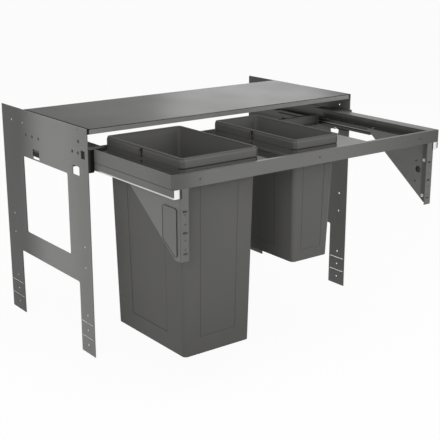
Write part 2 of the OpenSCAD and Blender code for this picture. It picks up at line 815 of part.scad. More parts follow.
module outer_balls() {
    color(steel) both() balls(outer_cage_y, runner_u + runner_t, runner_in - runner_t,
        outer_gap, outer_ball_d, outer_ball_z);
}
module left_drawer_runner() { color(zinc) left() drawer_runner(); }
module right_drawer_runner() { color(zinc) right() drawer_runner(); }
module left_runner_end() { color(zinc) left() runner_end(); }
module right_runner_end() { color(zinc) right() runner_end(); }
module runner_bolts() { color(steel) both() for (y = bolt_ys) runner_bolt(y); }
module left_rail() { color(anthracite) left() rail(true); }
module right_rail() { color(anthracite) right() rail(false); }
module rear_bar() { color(anthracite) left() rear_bar_body(); }
module front_bar() { color(anthracite) left() front_bar_body(); }
module carrier_plate() { color(anthracite) left() carrier_plate_body(); }
module left_gusset() { color(anthracite) left() gusset(); }
module right_gusset() { color(anthracite) right() gusset(); }
module gusset_rivets() { color(steel) both() for (y = gusset_rivet_ys) gusset_rivet(y); }
module left_gusset_cap() { color(anthracite) left() gusset_cap(); }
module right_gusset_cap() { color(anthracite) right() gusset_cap(); }
module front_adjusters() { color(zinc) both() for (z = adjuster_zs) front_adjuster(z); }
module large_bin() { color(bin_grey) left() bin(large_x, large_w, large_h); }
module small_bin() { color(bin_grey) left() bin(small_x, small_w, small_h); }

left_side_panel();
right_side_panel();
cover_plate();
cover_front_edge();
cover_rear_edge();
left_cover_end();
right_cover_end();
cover_screws();
left_cabinet_runner();
right_cabinet_runner();
runner_screws();
left_runner_cap();
right_runner_cap();
left_rear_clip();
right_rear_clip();
left_middle_runner();
right_middle_runner();
left_inner_cage();
right_inner_cage();
inner_balls();
left_outer_cage();
right_outer_cage();
outer_balls();
left_drawer_runner();
right_drawer_runner();
left_runner_end();
right_runner_end();
runner_bolts();
left_rail();
right_rail();
front_bar();
rear_bar();
carrier_plate();
left_gusset();
right_gusset();
gusset_rivets();
left_gusset_cap();
right_gusset_cap();
front_adjusters();
large_bin();
small_bin();
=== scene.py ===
import math

import bpy
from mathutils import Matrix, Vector


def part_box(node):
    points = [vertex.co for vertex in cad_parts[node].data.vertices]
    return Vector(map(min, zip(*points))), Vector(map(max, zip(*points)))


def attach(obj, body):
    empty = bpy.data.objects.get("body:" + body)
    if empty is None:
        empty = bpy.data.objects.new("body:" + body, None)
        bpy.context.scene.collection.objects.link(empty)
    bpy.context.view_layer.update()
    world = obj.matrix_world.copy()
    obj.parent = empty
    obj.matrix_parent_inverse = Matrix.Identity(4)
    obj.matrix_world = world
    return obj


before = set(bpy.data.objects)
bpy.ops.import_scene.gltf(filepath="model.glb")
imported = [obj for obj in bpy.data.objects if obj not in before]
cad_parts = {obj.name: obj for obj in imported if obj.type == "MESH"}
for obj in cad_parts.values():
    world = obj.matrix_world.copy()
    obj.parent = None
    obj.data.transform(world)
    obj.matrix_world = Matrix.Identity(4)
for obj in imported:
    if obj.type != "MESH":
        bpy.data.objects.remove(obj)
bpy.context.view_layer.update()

# Side panels: two mirrored sheets that stand against the cabinet's sides on four legs.
# They are punched from steel sheet and powder coated in anthracite, with a fine dry grain.
# Painted shade darkens the coat towards the rear and front edges, inside, round the screw holes and at the
# top front corner; the edges of the punched wall holes and slits are painted light.
PANEL_GREY = (0.215, 0.215, 0.207, 1.0)
PAINTED_SHADE_BEHIND = 0.233
PAINTED_SHADE_BEHIND_FADE = 0.087
PAINTED_SHADE_BEHIND_SHADE = 0.20
PAINTED_SHADE_FRONT = 0.010
PAINTED_SHADE_FRONT_FADE = 0.055
PAINTED_SHADE_FRONT_SHADE = 0.78
FAR_END = 1.0
FRONT_LEG = (-0.0600, 0.0030)
FRONT_HOLES = (0.002, 0.400)
FRONT_HOLE_PAINTED_LIGHT = 5.0
REAR_LEG = (0.3265, 0.4010)
REAR_HOLES = (0.002, 0.580)
REAR_HOLE_PAINTED_LIGHT = 17.0
FRONT_EDGE = (-0.0615, -0.0605)
CORNER = (0.5715, 0.5860)
CORNER_PAINTED_SHADOW = 0.05
PANEL_INSIDE_PAINTED_SHADE = 0.68
RUNNER_HOLES = (-0.0140, 0.0140, 0.1930, 0.2280, 0.2630)
RUNNER_HOLES_HEIGHT = 0.520
WALL_HOLE = (0.0, -0.0180, 0.549)
HOLE_SHADOW_RADIUS = 0.0044
HOLE_SHADOW_SHADE = 0.12
UPPER_HOLE = (0.0, 0.2810, 0.549)
UPPER_HOLE_RADIUS = 0.0040
UPPER_HOLE_PAINTED_LIGHT = 9.0
ACROSS = (0.0, 1.0, 1.0)
CUT_LEAST = 0.8
FACING_LEAST = 0.01
COAT_ROUGHNESS = 0.46
COAT_GRAIN_SCALE = 900.0
COAT_GRAIN_HEIGHT = 0.00004
COAT_SHADE_CHANGE = 0.10


def new_group(name, inputs, outputs):
    """An empty shader node group with named values in and out."""
    group = bpy.data.node_groups.new(name, "ShaderNodeTree")
    for socket_name, kind, value in inputs:
        socket = group.interface.new_socket(socket_name, in_out="INPUT", socket_type=kind)
        socket.default_value = value
    for socket_name, kind in outputs:
        group.interface.new_socket(socket_name, in_out="OUTPUT", socket_type=kind)
    return group, group.nodes.new("NodeGroupInput"), group.nodes.new("NodeGroupOutput")


def make_grain():
    """Fine grain of a coat or a moulding, with a slow change of shade over the sheet."""
    group, given, out = new_group(
        "surface_grain",
        [
            ("Colour", "NodeSocketColor", (0.5, 0.5, 0.5, 1.0)),
            ("Roughness", "NodeSocketFloat", 0.5),
            ("Grain scale", "NodeSocketFloat", 900.0),
            ("Shade change", "NodeSocketFloat", 0.06),
        ],
        [("Colour", "NodeSocketColor"), ("Roughness", "NodeSocketFloat"), ("Height", "NodeSocketFloat")],
    )
    nodes = group.nodes
    links = group.links
    place = nodes.new("ShaderNodeTexCoord")
    fine = nodes.new("ShaderNodeTexNoise")
    fine.inputs["Detail"].default_value = 3.0
    links.new(place.outputs["Object"], fine.inputs["Vector"])
    links.new(given.outputs["Grain scale"], fine.inputs["Scale"])
    slow = nodes.new("ShaderNodeTexNoise")
    slow.inputs["Scale"].default_value = 6.0
    slow.inputs["Detail"].default_value = 2.0
    links.new(place.outputs["Object"], slow.inputs["Vector"])
    centred = nodes.new("ShaderNodeMath")
    centred.operation = "SUBTRACT"
    centred.inputs[1].default_value = 0.5
    links.new(slow.outputs["Fac"], centred.inputs[0])
    shade = nodes.new("ShaderNodeMath")
    shade.operation = "MULTIPLY_ADD"
    shade.inputs[2].default_value = 1.0
    links.new(centred.outputs["Value"], shade.inputs[0])
    links.new(given.outputs["Shade change"], shade.inputs[1])
    tinted = nodes.new("ShaderNodeVectorMath")
    tinted.operation = "SCALE"
    links.new(given.outputs["Colour"], tinted.inputs[0])
    links.new(shade.outputs["Value"], tinted.inputs["Scale"])
    spread = nodes.new("ShaderNodeMath")
    spread.operation = "MULTIPLY_ADD"
    spread.inputs[1].default_value = 0.12
    links.new(centred.outputs["Value"], spread.inputs[0])
    links.new(given.outputs["Roughness"], spread.inputs[2])
    links.new(tinted.outputs["Vector"], out.inputs["Colour"])
    links.new(spread.outputs["Value"], out.inputs["Roughness"])
    links.new(fine.outputs["Fac"], out.inputs["Height"])
    return group


surface_grain = make_grain()


def grained(name, colour, roughness, scale, height, shade_change, sheen=0.5):
    """A coated or moulded finish that takes its grain from the shared group."""
    finish = bpy.data.materials.new(name)
    finish.use_nodes = True
    nodes = finish.node_tree.nodes
    links = finish.node_tree.links
    shader = nodes["Principled BSDF"]
    shader.inputs["Specular IOR Level"].default_value = sheen
    grain = nodes.new("ShaderNodeGroup")
    grain.node_tree = surface_grain
    grain.inputs["Colour"].default_value = colour
    grain.inputs["Roughness"].default_value = roughness
    grain.inputs["Grain scale"].default_value = scale
    grain.inputs["Shade change"].default_value = shade_change
    relief = nodes.new("ShaderNodeBump")
    relief.inputs["Distance"].default_value = height
    links.new(grain.outputs["Height"], relief.inputs["Height"])
    links.new(grain.outputs["Colour"], shader.inputs["Base Color"])
    links.new(grain.outputs["Roughness"], shader.inputs["Roughness"])
    links.new(relief.outputs["Normal"], shader.inputs["Normal"])
    return finish


def finish_nodes(finish, *names):
    """Gives one finish to every face of the named pieces."""
    for name in names:
        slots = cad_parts[name].data.materials
        slots.clear()
        slots.append(finish)


def make_band():
    """One inside a band along one axis of the piece, none outside it, with a fade at both ends."""
    group, given, out = new_group(
        "axis_band",
        [
            ("Axis", "NodeSocketVector", (0.0, 0.0, 1.0)),
            ("Start", "NodeSocketFloat", 0.0),
            ("End", "NodeSocketFloat", 1.0),
            ("Fade", "NodeSocketFloat", 0.0001),
        ],
        [("Band", "NodeSocketFloat")],
    )
    nodes = group.nodes
    links = group.links
    place = nodes.new("ShaderNodeTexCoord")
    along = nodes.new("ShaderNodeVectorMath")
    along.operation = "DOT_PRODUCT"
    links.new(place.outputs["Object"], along.inputs[0])
    links.new(given.outputs["Axis"], along.inputs[1])
    edges = []
    for edge, inside in (("Start", 1.0), ("End", 0.0)):
        low = nodes.new("ShaderNodeMath")
        low.operation = "SUBTRACT"
        links.new(given.outputs[edge], low.inputs[0])
        links.new(given.outputs["Fade"], low.inputs[1])
        high = nodes.new("ShaderNodeMath")
        high.operation = "ADD"
        links.new(given.outputs[edge], high.inputs[0])
        links.new(given.outputs["Fade"], high.inputs[1])
        ramp = nodes.new("ShaderNodeMapRange")
        ramp.interpolation_type = "SMOOTHSTEP"
        ramp.inputs["To Min"].default_value = 1.0 - inside
        ramp.inputs["To Max"].default_value = inside
        links.new(along.outputs["Value"], ramp.inputs["Value"])
        links.new(low.outputs["Value"], ramp.inputs["From Min"])
        links.new(high.outputs["Value"], ramp.inputs["From Max"])
        edges.append(ramp)
    both = nodes.new("ShaderNodeMath")
    both.operation = "MULTIPLY"
    links.new(edges[0].outputs["Result"], both.inputs[0])
    links.new(edges[1].outputs["Result"], both.inputs[1])
    links.new(both.outputs["Value"], out.inputs["Band"])
    return group


axis_band = make_band()


def in_band(finish, axis, start, end, fade=0.0001):
    """Mask: one inside a band along one axis of the piece."""
    band = finish.node_tree.nodes.new("ShaderNodeGroup")
    band.node_tree = axis_band
    band.inputs["Axis"].default_value = axis
    band.inputs["Start"].default_value = start
    band.inputs["End"].default_value = end
    band.inputs["Fade"].default_value = fade
    return band.outputs["Band"]


def make_tone():
    """A colour made darker or lighter by a shade where all of the masks are one."""
    group, given, out = new_group(
        "toned",
        [
            ("Colour", "NodeSocketColor", (0.5, 0.5, 0.5, 1.0)),
            ("Shade", "NodeSocketFloat", 1.0),
            ("Mask 1", "NodeSocketFloat", 1.0),
            ("Mask 2", "NodeSocketFloat", 1.0),
            ("Mask 3", "NodeSocketFloat", 1.0),
        ],
        [("Colour", "NodeSocketColor")],
    )
    nodes = group.nodes
    links = group.links
    where = given.outputs["Mask 1"]
    for mask in ("Mask 2", "Mask 3"):
        overlap = nodes.new("ShaderNodeMath")
        overlap.operation = "MULTIPLY"
        links.new(where, overlap.inputs[0])
        links.new(given.outputs[mask], overlap.inputs[1])
        where = overlap.outputs["Value"]
    level = nodes.new("ShaderNodeMapRange")
    level.inputs["To Min"].default_value = 1.0
    links.new(given.outputs["Shade"], level.inputs["To Max"])
    links.new(where, level.inputs["Value"])
    tinted = nodes.new("ShaderNodeVectorMath")
    tinted.operation = "SCALE"
    links.new(given.outputs["Colour"], tinted.inputs[0])
    links.new(level.outputs["Result"], tinted.inputs["Scale"])
    links.new(tinted.outputs["Vector"], out.inputs["Colour"])
    return group


toned = make_tone()


def tone(finish, shade, *masks):
    """Darkens or lightens a finish by the shade where all of the masks are one."""
    links = finish.node_tree.links
    coat = finish.node_tree.nodes["Principled BSDF"].inputs["Base Color"]
    tint = finish.node_tree.nodes.new("ShaderNodeGroup")
    tint.node_tree = toned
    tint.inputs["Shade"].default_value = shade
    links.new(coat.links[0].from_socket, tint.inputs["Colour"])
    for number, mask in enumerate(masks, 1):
        links.new(mask, tint.inputs[f"Mask {number}"])
    links.new(tint.outputs["Colour"], coat)


def cut_faces(finish):
    """Mask: one on the cut edges of a sheet that stands across the width."""
    nodes = finish.node_tree.nodes
    links = finish.node_tree.links
    place = nodes.new("ShaderNodeTexCoord")
    across = nodes.new("ShaderNodeVectorMath")
    across.operation = "MULTIPLY"
    across.inputs[1].default_value = ACROSS
    links.new(place.outputs["Normal"], across.inputs[0])
    turned = nodes.new("ShaderNodeVectorMath")
    turned.operation = "LENGTH"
    links.new(across.outputs["Vector"], turned.inputs[0])
    mask = nodes.new("ShaderNodeMath")
    mask.operation = "GREATER_THAN"
    mask.inputs[1].default_value = CUT_LEAST
    links.new(turned.outputs["Value"], mask.inputs[0])
    return mask.outputs["Value"]


def make_facing():
    """One on faces that look away from a middle along an axis, towards it if that is negative."""
    group, given, out = new_group(
        "facing",
        [("Middle", "NodeSocketVector", (0.0, 0.0, 0.0)), ("Along", "NodeSocketVector", (1.0, 0.0, 0.0))],
        [("Mask", "NodeSocketFloat")],
    )
    nodes = group.nodes
    links = group.links
    place = nodes.new("ShaderNodeTexCoord")
    away = nodes.new("ShaderNodeVectorMath")
    away.operation = "SUBTRACT"
    links.new(place.outputs["Object"], away.inputs[0])
    links.new(given.outputs["Middle"], away.inputs[1])
    part = nodes.new("ShaderNodeVectorMath")
    part.operation = "MULTIPLY"
    links.new(away.outputs["Vector"], part.inputs[0])
    links.new(given.outputs["Along"], part.inputs[1])
    turned = nodes.new("ShaderNodeVectorMath")
    turned.operation = "DOT_PRODUCT"
    links.new(part.outputs["Vector"], turned.inputs[0])
    links.new(place.outputs["Normal"], turned.inputs[1])
    mask = nodes.new("ShaderNodeMath")
    mask.operation = "GREATER_THAN"
    mask.inputs[1].default_value = FACING_LEAST
    links.new(turned.outputs["Value"], mask.inputs[0])
    links.new(mask.outputs["Value"], out.inputs["Mask"])
    return group


facing_group = make_facing()


def facing(finish, middle, along):
    """Mask: one on faces that look away from the middle along an axis, towards it if that is negative."""
    faces = finish.node_tree.nodes.new("ShaderNodeGroup")
    faces.node_tree = facing_group
    faces.inputs["Middle"].default_value = middle
    faces.inputs["Along"].default_value = along
    return faces.outputs["Mask"]


def make_ring():
    """One in a ring round a point, seen from the side."""
    group, given, out = new_group(
        "side_ring",
        [
            ("Centre", "NodeSocketVector", (0.0, 0.0, 0.0)),
            ("Inner", "NodeSocketFloat", 0.0),
            ("Outer", "NodeSocketFloat", 0.01),
        ],
        [("Mask", "NodeSocketFloat")],
    )
    nodes = group.nodes
    links = group.links
    place = nodes.new("ShaderNodeTexCoord")
    away = nodes.new("ShaderNodeVectorMath")
    away.operation = "SUBTRACT"
    links.new(place.outputs["Object"], away.inputs[0])
    links.new(given.outputs["Centre"], away.inputs[1])
    flat = nodes.new("ShaderNodeVectorMath")
    flat.operation = "MULTIPLY"
    flat.inputs[1].default_value = ACROSS
    links.new(away.outputs["Vector"], flat.inputs[0])
    radius = nodes.new("ShaderNodeVectorMath")
    radius.operation = "LENGTH"
    links.new(flat.outputs["Vector"], radius.inputs[0])
    ring = nodes.new("ShaderNodeMath")
    ring.operation = "MULTIPLY"
    for number, (edge, test) in enumerate((("Inner", "GREATER_THAN"), ("Outer", "LESS_THAN"))):
        side = nodes.new("ShaderNodeMath")
        side.operation = test
        links.new(radius.outputs["Value"], side.inputs[0])
        links.new(given.outputs[edge], side.inputs[1])
        links.new(side.outputs["Value"], ring.inputs[number])
    links.new(ring.outputs["Value"], out.inputs["Mask"])
    return group


side_ring = make_ring()


def in_ring(finish, centre, inner, outer):
    """Mask: one in a ring round a point, seen from the side."""
    ring = finish.node_tree.nodes.new("ShaderNodeGroup")
    ring.node_tree = side_ring
    ring.inputs["Centre"].default_value = centre
    ring.inputs["Inner"].default_value = inner
    ring.inputs["Outer"].default_value = outer
    return ring.outputs["Mask"]


DEPTH = (0.0, 1.0, 0.0)
HEIGHT = (0.0, 0.0, 1.0)
INWARDS = (-1.0, 0.0, 0.0)
MIDDLE = (0.0, 0.0, 0.0)


def sheet_coat(name, colour):
    """The powder coat that all of the sheet pieces have, in the grey given; the panels, frame and gussets
    get lighter and darker copies of one coat, painted light and shade.
    """
    return grained(name, colour, COAT_ROUGHNESS, COAT_GRAIN_SCALE, COAT_GRAIN_HEIGHT, COAT_SHADE_CHANGE)


# The panels' grey is a lighter copy of the sheet coat: painted light.
panel_coat = sheet_coat("panel_coat", PANEL_GREY)
# Painted shade, standing in for a reflection: the coat darkens towards the rear and the front.
tone(panel_coat, PAINTED_SHADE_BEHIND_SHADE, in_band(panel_coat, DEPTH, PAINTED_SHADE_BEHIND, FAR_END, PAINTED_SHADE_BEHIND_FADE))
tone(panel_coat, PAINTED_SHADE_FRONT_SHADE, in_band(panel_coat, DEPTH, -FAR_END, PAINTED_SHADE_FRONT, PAINTED_SHADE_FRONT_FADE))
punched = cut_faces(panel_coat)
# Painted light on the cut edges of the holes and slits in the legs, and of the upper hole.
for leg, holes, hole_light in ((FRONT_LEG, FRONT_HOLES, FRONT_HOLE_PAINTED_LIGHT), (REAR_LEG, REAR_HOLES, REAR_HOLE_PAINTED_LIGHT)):
    tone(panel_coat, hole_light, in_band(panel_coat, DEPTH, *leg), in_band(panel_coat, HEIGHT, *holes), punched)
upper_hole = in_ring(panel_coat, UPPER_HOLE, 0.0, UPPER_HOLE_RADIUS)
tone(panel_coat, UPPER_HOLE_PAINTED_LIGHT, upper_hole, punched)
# Painted shade in a disc round each screw hole.
hole_centres = [(0.0, along, RUNNER_HOLES_HEIGHT) for along in RUNNER_HOLES] + [WALL_HOLE]
for centre in hole_centres:
    tone(panel_coat, HOLE_SHADOW_SHADE, in_ring(panel_coat, centre, 0.0, HOLE_SHADOW_RADIUS))
# Painted shade on the panels' inner faces.
tone(panel_coat, PANEL_INSIDE_PAINTED_SHADE, facing(panel_coat, MIDDLE, INWARDS))
# Painted shadow at the top of the panels' front edges, beside the cover's ends.
tone(panel_coat, CORNER_PAINTED_SHADOW, in_band(panel_coat, DEPTH, *FRONT_EDGE), in_band(panel_coat, HEIGHT, *CORNER))
finish_nodes(panel_coat, "left_side_panel", "right_side_panel")

# Cover: a sheet that spans the two panels and keeps the bins covered, with turned-down edges.
# Its smooth coat has a sheen; its top and front edge are a darker and a lighter copy of one coat, painted
# shade and painted light, and painted shade darkens its ends, the bend and the joints.
COVER_GREY = (0.078, 0.077, 0.074, 1.0)
EDGE_PAINTED_LIGHT_GREY = (0.200, 0.199, 0.192, 1.0)
COVER_GRAIN_SCALE = 600.0
COVER_GRAIN_HEIGHT = 0.00002
COVER_SHADE_CHANGE = 0.06
COVER_FRONT = -0.061
BEND_DEPTH = 0.0045
BEND_PAINTED_SHADE = 0.5
COVER_HALF = 0.4300
JOINT_WIDTH = 0.0060
JOINT_PAINTED_SHADE = 0.2
PAINTED_SHADE_ENDS = 0.340
PAINTED_SHADE_ENDS_FADE = 0.09
PAINTED_SHADE_ENDS_SHADE = 0.65
EDGE_JOINT = 0.0055
EDGE_JOINT_PAINTED_SHADE = 0.08
WIDTH = (1.0, 0.0, 0.0)


def roll_ends(finish, start):
    """Turns the surface down along both ends of the cover, as the sheet does where it is bent."""
    nodes = finish.node_tree.nodes
    links = finish.node_tree.links
    shader = nodes["Principled BSDF"]
    place = nodes.new("ShaderNodeTexCoord")
    parts = nodes.new("ShaderNodeSeparateXYZ")
    links.new(place.outputs["Object"], parts.inputs["Vector"])
    out = nodes.new("ShaderNodeMath")
    out.operation = "ABSOLUTE"
    links.new(parts.outputs["X"], out.inputs[0])
    inside = nodes.new("ShaderNodeMath")
    inside.operation = "SUBTRACT"
    inside.inputs[0].default_value = start
    links.new(out.outputs["Value"], inside.inputs[1])
    drop = nodes.new("ShaderNodeMath")
    drop.operation = "MINIMUM"
    drop.inputs[1].default_value = 0.0
    links.new(inside.outputs["Value"], drop.inputs[0])
    bend = nodes.new("ShaderNodeBump")
    bend.inputs["Distance"].default_value = 1.0
    links.new(drop.outputs["Value"], bend.inputs["Height"])
    links.new(shader.inputs["Normal"].links[0].from_socket, bend.inputs["Normal"])
    links.new(bend.outputs["Normal"], shader.inputs["Normal"])


cover_coat = grained(
    "cover_coat", COVER_GREY, roughness=0.34, scale=COVER_GRAIN_SCALE, height=COVER_GRAIN_HEIGHT,
    shade_change=COVER_SHADE_CHANGE, sheen=0.03,
)
front_bend = in_band(cover_coat, DEPTH, COVER_FRONT - BEND_DEPTH, COVER_FRONT + BEND_DEPTH)
left_joint = in_band(cover_coat, WIDTH, -COVER_HALF, JOINT_WIDTH - COVER_HALF)
right_joint = in_band(cover_coat, WIDTH, COVER_HALF - JOINT_WIDTH, COVER_HALF)
# Painted shade, standing in for a reflection, darkens both ends of the cover.
tone(cover_coat, PAINTED_SHADE_ENDS_SHADE, in_band(cover_coat, WIDTH, -FAR_END, -PAINTED_SHADE_ENDS, PAINTED_SHADE_ENDS_FADE))
tone(cover_coat, PAINTED_SHADE_ENDS_SHADE, in_band(cover_coat, WIDTH, PAINTED_SHADE_ENDS, FAR_END, PAINTED_SHADE_ENDS_FADE))
# Painted shade along the front bend.
tone(cover_coat, BEND_PAINTED_SHADE, front_bend)
# Painted shade in the joints against the panels.
tone(cover_coat, JOINT_PAINTED_SHADE, left_joint)
tone(cover_coat, JOINT_PAINTED_SHADE, right_joint)
roll_ends(cover_coat, COVER_HALF - JOINT_WIDTH)
# A lighter copy of the cover's coat for the front edge: painted light.
edge_coat_painted_light = grained(
    "edge_coat_painted_light", EDGE_PAINTED_LIGHT_GREY, roughness=0.40, scale=COVER_GRAIN_SCALE, height=COVER_GRAIN_HEIGHT,
    shade_change=COVER_SHADE_CHANGE,
)
# Painted shade at the front edge's joints against the panels.
tone(edge_coat_painted_light, EDGE_JOINT_PAINTED_SHADE, in_band(edge_coat_painted_light, WIDTH, -COVER_HALF, EDGE_JOINT - COVER_HALF))
tone(edge_coat_painted_light, EDGE_JOINT_PAINTED_SHADE, in_band(edge_coat_painted_light, WIDTH, COVER_HALF - EDGE_JOINT, COVER_HALF))
finish_nodes(cover_coat, "cover_plate", "cover_rear_edge", "left_cover_end", "right_cover_end")
finish_nodes(edge_coat_painted_light, "cover_front_edge")

# Cabinet runners: brackets screwed to the panels, each with an upright guide for the middle runner.
# Their zinc plate is passivated dark, with a faint cloudy spangle.
DARK_ZINC = (0.080, 0.080, 0.078, 1.0)
DARK_ZINC_ROUGHNESS = 0.42
DARK_ZINC_SPANGLE = 0.25
SPANGLE_SCALE = 220.0


def plated(name, colour, roughness, spangle):
    """Plating on steel with a faint cloudy spangle."""
    finish = bpy.data.materials.new(name)
    finish.use_nodes = True
    nodes = finish.node_tree.nodes
    links = finish.node_tree.links
    shader = nodes["Principled BSDF"]
    shader.inputs["Metallic"].default_value = 1.0
    grain = nodes.new("ShaderNodeGroup")
    grain.node_tree = surface_grain
    grain.inputs["Colour"].default_value = colour
    grain.inputs["Roughness"].default_value = roughness
    grain.inputs["Grain scale"].default_value = SPANGLE_SCALE
    grain.inputs["Shade change"].default_value = spangle
    links.new(grain.outputs["Colour"], shader.inputs["Base Color"])
    links.new(grain.outputs["Roughness"], shader.inputs["Roughness"])
    return finish


dark_zinc = plated("dark_zinc", DARK_ZINC, DARK_ZINC_ROUGHNESS, DARK_ZINC_SPANGLE)
finish_nodes(dark_zinc, "left_cabinet_runner", "right_cabinet_runner")

# Screws of the runners and of the cover, each with a six-sided drive recess that is a near-black disc on the
# head, painted shade.
# Runner screws are black and driven from inside; cover screws are sunk flush and coated with the panels.
SCREW_BLACK = (0.030, 0.030, 0.030, 1.0)
STEEL = (0.48, 0.48, 0.47, 1.0)
RECESS_SHADE_BLACK = (0.010, 0.010, 0.010, 1.0)
RECESS_DEPTH = 0.0006
RECESS_PROUD = 0.00005
RECESS_SIDES = 6
RUNNER_SCREW_RECESS = 0.0011
COVER_SCREW_RECESS = 0.0013
INNER_SIDE = -1.0
OUTER_SIDE = 1.0
plain_steel = plated("plain_steel", STEEL, roughness=0.35, spangle=0.15)
black_steel = plated("black_steel", SCREW_BLACK, roughness=0.50, spangle=0.15)
finish_nodes(black_steel, "runner_screws")
finish_nodes(panel_coat, "cover_screws")
recess_painted_shade = grained(
    "recess_painted_shade", RECESS_SHADE_BLACK, roughness=0.8, scale=1500.0, height=0.00001, shade_change=0.2, sheen=0.2,
)


def single_pieces(name):
    """Lowest and highest corner of each separate screw, bolt or rivet in a node."""
    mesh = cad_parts[name].data
    home = {}

    def root(key):
        while home[key] != key:
            home[key] = home[home[key]]
            key = home[key]
        return key

    keys = [tuple(round(c, 5) for c in v.co) for v in mesh.vertices]
    for key in keys:
        home[key] = key
    for face in mesh.polygons:
        first = root(keys[face.vertices[0]])
        for i in face.vertices[1:]:
            home[root(keys[i])] = first
    groups = {}
    for key in set(keys):
        groups.setdefault(root(key), []).append(key)
    boxes = []
    for points in groups.values():
        low = Vector([min(p[i] for p in points) for i in range(3)])
        high = Vector([max(p[i] for p in points) for i in range(3)])
        boxes.append((low, high))
    return sorted(boxes, key=lambda b: tuple(b[0]))


def recess_tree():
    """Geometry nodes: a six-sided recess on every point, turned to the screw's axis."""
    tree = bpy.data.node_groups.new("drive_recesses", "GeometryNodeTree")
    face = tree.interface
    face.new_socket("Geometry", in_out="INPUT", socket_type="NodeSocketGeometry")
    radius_in = face.new_socket("Recess radius", in_out="INPUT", socket_type="NodeSocketFloat")
    depth_in = face.new_socket("Recess depth", in_out="INPUT", socket_type="NodeSocketFloat")
    turn_in = face.new_socket("Turn", in_out="INPUT", socket_type="NodeSocketVector")
    face.new_socket("Geometry", in_out="OUTPUT", socket_type="NodeSocketGeometry")
    nodes = tree.nodes
    links = tree.links
    given = nodes.new("NodeGroupInput")
    out = nodes.new("NodeGroupOutput")
    recess = nodes.new("GeometryNodeMeshCylinder")
    recess.inputs["Vertices"].default_value = RECESS_SIDES
    links.new(given.outputs["Recess radius"], recess.inputs["Radius"])
    links.new(given.outputs["Recess depth"], recess.inputs["Depth"])
    spread = nodes.new("GeometryNodeInstanceOnPoints")
    links.new(given.outputs["Geometry"], spread.inputs["Points"])
    links.new(recess.outputs["Mesh"], spread.inputs["Instance"])
    links.new(given.outputs["Turn"], spread.inputs["Rotation"])
    real = nodes.new("GeometryNodeRealizeInstances")
    links.new(spread.outputs["Instances"], real.inputs["Geometry"])
    paint = nodes.new("GeometryNodeSetMaterial")
    paint.inputs["Material"].default_value = recess_painted_shade
    links.new(real.outputs["Geometry"], paint.inputs["Geometry"])
    links.new(paint.outputs["Geometry"], out.inputs["Geometry"])
    return tree, radius_in.identifier, depth_in.identifier, turn_in.identifier


recess_nodes, RADIUS_ID, DEPTH_ID, TURN_ID = recess_tree()
ALONG_WIDTH = (0.0, math.pi / 2, 0.0)
UPRIGHT = (0.0, 0.0, 0.0)


def drive_recesses(name, points, radius, turn, body):
    """One plain mesh with the recesses of all screws at the given points."""
    mesh = bpy.data.meshes.new(name)
    mesh.from_pydata(points, [], [])
    piece = bpy.data.objects.new(name, mesh)
    bpy.context.scene.collection.objects.link(piece)
    spread = piece.modifiers.new("recesses", "NODES")
    spread.node_group = recess_nodes
    spread[RADIUS_ID] = radius
    spread[DEPTH_ID] = RECESS_DEPTH
    spread[TURN_ID] = turn
    graph = bpy.context.evaluated_depsgraph_get()
    plain = bpy.data.meshes.new_from_object(piece.evaluated_get(graph), depsgraph=graph)
    piece.modifiers.remove(spread)
    piece.data = plain
    plain.name = name
    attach(piece, body)


def side_head(box, outwards):
    """Point on a screw's head, on its outer side, or on its inner side if outwards is negative."""
    low, high = box
    towards = -outwards if high.x < 0 else outwards
    face = high.x if towards > 0 else low.x
    shift = towards * (RECESS_PROUD - RECESS_DEPTH / 2)
    return (face + shift, (low.y + high.y) / 2, (low.z + high.z) / 2)


drive_recesses(
    "runner_screw_recesses", [side_head(b, INNER_SIDE) for b in single_pieces("runner_screws")],
    RUNNER_SCREW_RECESS, ALONG_WIDTH, "cabinet_frame",
)
drive_recesses(
    "cover_screw_recesses", [side_head(b, OUTER_SIDE) for b in single_pieces("cover_screws")],
    COVER_SCREW_RECESS, ALONG_WIDTH, "cabinet_frame",
)

# Runner caps and rear clips: black nylon mouldings that close and support the cabinet runners.
# Each snaps into a square window of the panel, and painted light makes the caps grey on top.
CAP_BLACK = (0.009, 0.009, 0.009, 1.0)
MOULD_GRAIN_SCALE = 1200.0
MOULD_GRAIN_HEIGHT = 0.00003
CAP_TOP_START = 0.5368
CAP_TOP_END = 0.5450
CAP_TOP_PAINTED_LIGHT = 11.0
black_nylon = grained(
    "black_nylon", CAP_BLACK, roughness=0.42, scale=MOULD_GRAIN_SCALE, height=MOULD_GRAIN_HEIGHT,
    shade_change=0.1, sheen=0.08,
)
# Painted light on the caps' tops.
tone(black_nylon, CAP_TOP_PAINTED_LIGHT, in_band(black_nylon, HEIGHT, CAP_TOP_START, CAP_TOP_END))
finish_nodes(black_nylon, "left_runner_cap", "right_runner_cap", "left_rear_clip", "right_rear_clip")

# Middle runners and ball cages: dark plated channels that travel half as far as the frame.
# Painted shadow darkens them along the drawer runner's lip.
# The cages are pierced steel strip and hold rows of small hardened balls.
BALL_STEEL = (0.58, 0.58, 0.57, 1.0)
LIP_SHADOW_START = 0.4920
LIP_SHADOW_END = 0.4962
LIP_SHADOW_SHADE = 0.25
hard_balls = plated("hard_balls", BALL_STEEL, roughness=0.12, spangle=0.05)
middle_zinc = plated("middle_zinc", DARK_ZINC, DARK_ZINC_ROUGHNESS, DARK_ZINC_SPANGLE)
# Painted shadow under the drawer runner's lip.
tone(middle_zinc, LIP_SHADOW_SHADE, in_band(middle_zinc, HEIGHT, LIP_SHADOW_START, LIP_SHADOW_END))
finish_nodes(middle_zinc, "left_middle_runner", "right_middle_runner")
finish_nodes(plain_steel, "left_inner_cage", "right_inner_cage", "left_outer_cage", "right_outer_cage")
finish_nodes(hard_balls, "inner_balls", "outer_balls")

